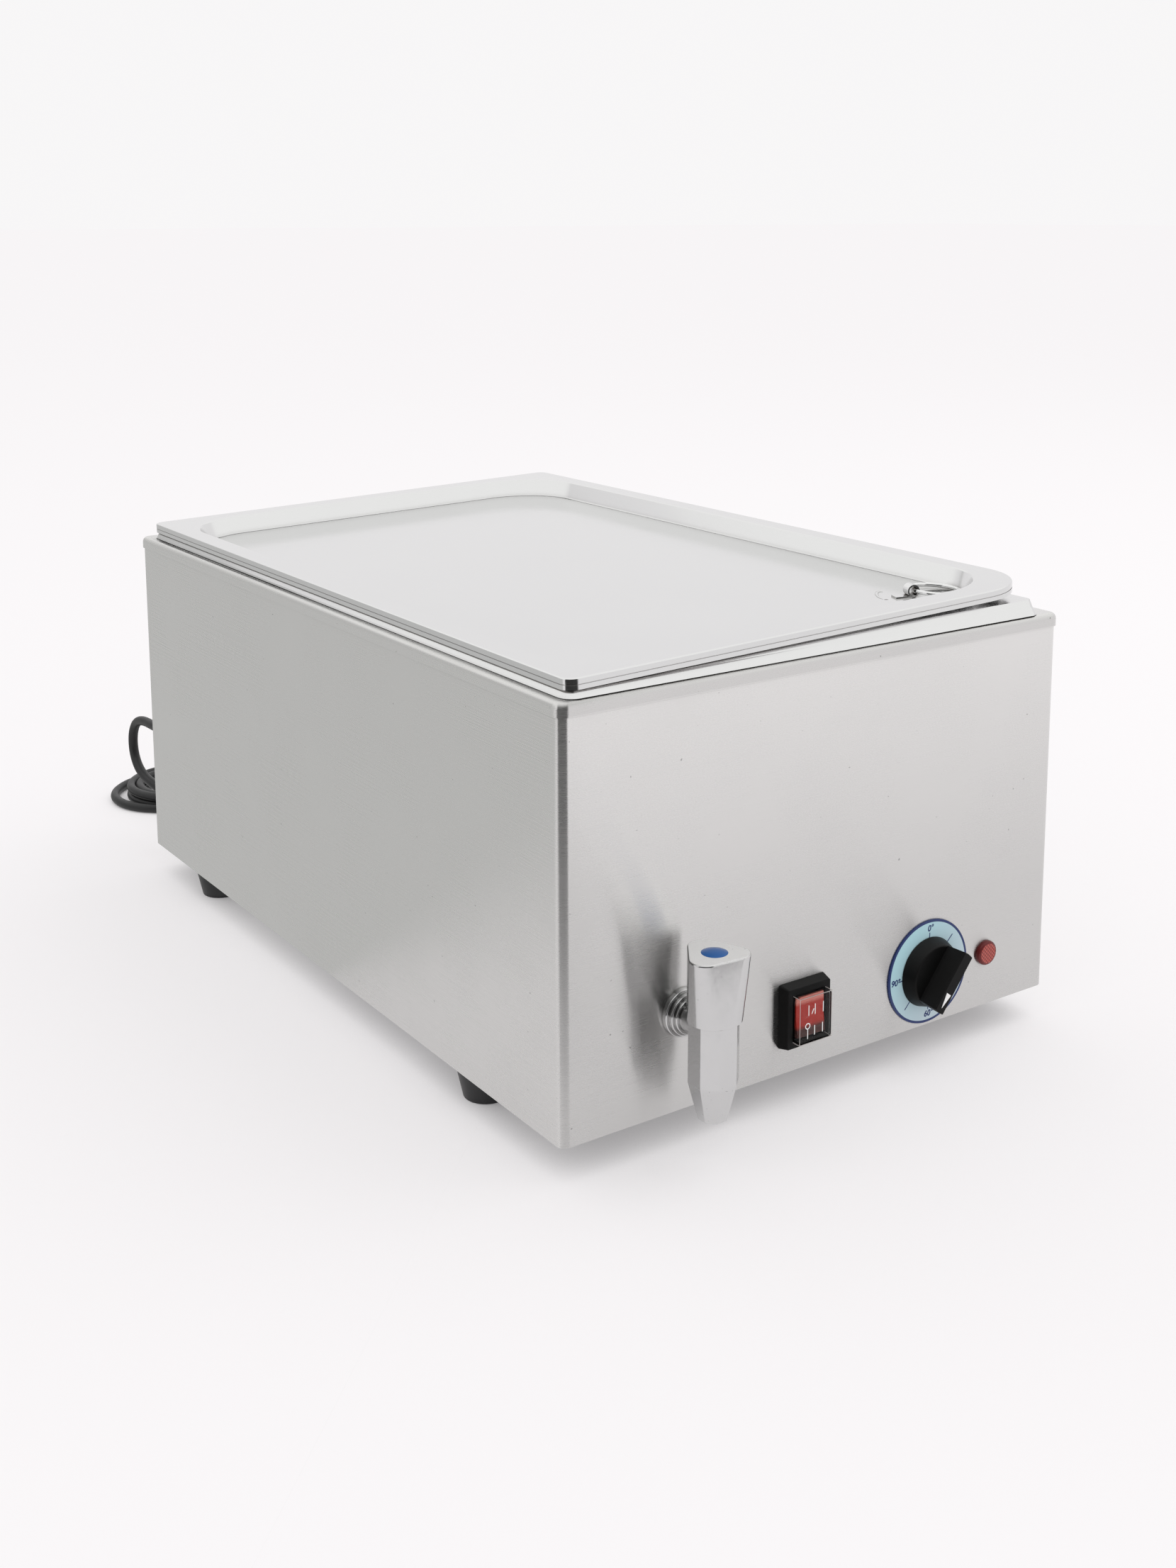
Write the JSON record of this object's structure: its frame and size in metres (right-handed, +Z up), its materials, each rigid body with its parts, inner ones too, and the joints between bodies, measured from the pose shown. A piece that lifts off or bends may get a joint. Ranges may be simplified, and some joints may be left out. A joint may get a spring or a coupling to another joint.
{
  "type": "heated wax bath",
  "caption": "Countertop heated wax bath: brushed stainless casing and water tank, deep pan, sunk lid, drain tap, rocker switch, thermostat dial and pilot lamp.",
  "frame": {"origin": "on the floor under the middle of the bounding box, the mains cord left out", "axes": "+X to the right of someone facing the control panel, +Y to the back, +Z up"},
  "size_m": [0.344, 0.7837, 0.2662],
  "materials": {
    "brushed_stainless": "horizontal brush lines, faint smudges",
    "polished_stainless": "bright rolled sheet",
    "plain_stainless": "mill finish",
    "chrome_plate": "bright, slightly worn",
    "chromed_wire": "bright",
    "zinc_steel": "zinc plated",
    "brass": "turned",
    "copper": "drawn tube",
    "black_plastic": "satin",
    "white_plastic": "satin",
    "blue_plastic": "gloss",
    "red_plastic": "gloss",
    "clear_plastic": "transparent",
    "red_lens": "translucent, faceted",
    "pale_blue_plate": "printed scale",
    "white_paint": "paint",
    "black_rubber": "matt",
    "wire_sheath": "satin"
  },
  "bodies": {
    "base": {"base_plate": "plain_stainless", "base_screws": "zinc_steel", "bulb_clips": "zinc_steel", "cable_gland": "black_plastic", "capillary": "copper", "casing_wrap": "brushed_stainless", "clamp_nuts": "zinc_steel", "clamp_studs": "zinc_steel", "coil_ties": "black_plastic", "cord_tail": "black_rubber", "dial_plate": "pale_blue_plate", "drain_elbow": "plain_stainless", "drain_strainer": "polished_stainless", "drain_union_nut": "brass", "earth_stud": "brass", "element_clamps": "zinc_steel", "foot_front_left": "black_rubber", "foot_front_right": "black_rubber", "foot_nuts": "zinc_steel", "foot_rear_left": "black_rubber", "foot_rear_right": "black_rubber", "foot_screws": "zinc_steel", "gland_nut": "black_plastic", "heating_element": "zinc_steel", "inner_lead": "black_rubber", "internal_wires": "wire_sheath", "lamp_body": "black_plastic", "lamp_clip": "zinc_steel", "lamp_lens": "red_lens", "mains_cord": "black_rubber", "mains_cord_coil": "black_rubber", "plug_body": "black_rubber", "plug_pins": "brass", "safety_cutout": "black_plastic", "sensing_bulb": "copper", "strain_relief": "black_rubber", "switch_cover": "clear_plastic", "switch_housing": "black_plastic", "switch_terminals": "brass", "tap_back_nut": "brass", "tap_body": "chrome_plate", "tap_bonnet": "brass", "tap_escutcheon": "chrome_plate", "tap_washer": "black_rubber", "terminal_block": "white_plastic", "thermostat_body": "zinc_steel", "thermostat_screws": "zinc_steel", "top_tank": "brushed_stainless"},
    "pan_body": {"gastronorm_pan": "polished_stainless"},
    "lid_body": {"lid": "polished_stainless", "lid_strap": "polished_stainless"},
    "ring_body": {"lid_ring": "chromed_wire"},
    "tap_handle_body": {"tap_handle": "chrome_plate", "tap_index": "blue_plastic", "tap_spindle": "brass"},
    "tap_valve_body": {"tap_valve": "brass"},
    "knob_body": {"knob": "black_plastic", "knob_pointer": "white_paint", "thermostat_shaft": "zinc_steel"},
    "rocker_body": {"switch_rocker": "red_plastic"}
  },
  "joints": [
    {"name": "pan_lift", "type": "slide", "parent": "base", "child": "pan_body", "axis": [0, 0, 1], "range_m": [0, 0.18]},
    {"name": "lid_lift", "type": "slide", "parent": "pan_body", "child": "lid_body", "axis": [0, 0, 1], "range_m": [0, 0.06]},
    {"name": "lid_ring_swing", "type": "hinge", "parent": "lid_body", "child": "ring_body", "pos_m": [0.1114, -0.19203, 0.25652], "axis": [-0.3254, -0.9455, -0.0098], "range_deg": [0, 170]},
    {"name": "tap_turn", "type": "hinge", "parent": "base", "child": "tap_handle_body", "pos_m": [-0.0975, -0.27653, 0.079], "axis": [0, 0, 1], "range_deg": [0, 540]},
    {"name": "tap_valve_lift", "type": "slide", "parent": "base", "child": "tap_valve_body", "axis": [0, 0, 1], "range_m": [0, 0.0031]},
    {"name": "knob_turn", "type": "hinge", "parent": "base", "child": "knob_body", "pos_m": [0.075, -0.25173, 0.052], "axis": [0, 1, 0], "range_deg": [-218, 52]},
    {"name": "rocker_tip", "type": "hinge", "parent": "base", "child": "rocker_body", "pos_m": [-0.018, -0.25343, 0.053], "axis": [1, 0, 0], "range_deg": [0, 8]}
  ],
  "couplings": [
    {"joint": "tap_valve_lift", "follows": "tap_turn", "m_per_rad": 0.00031831}
  ]
}
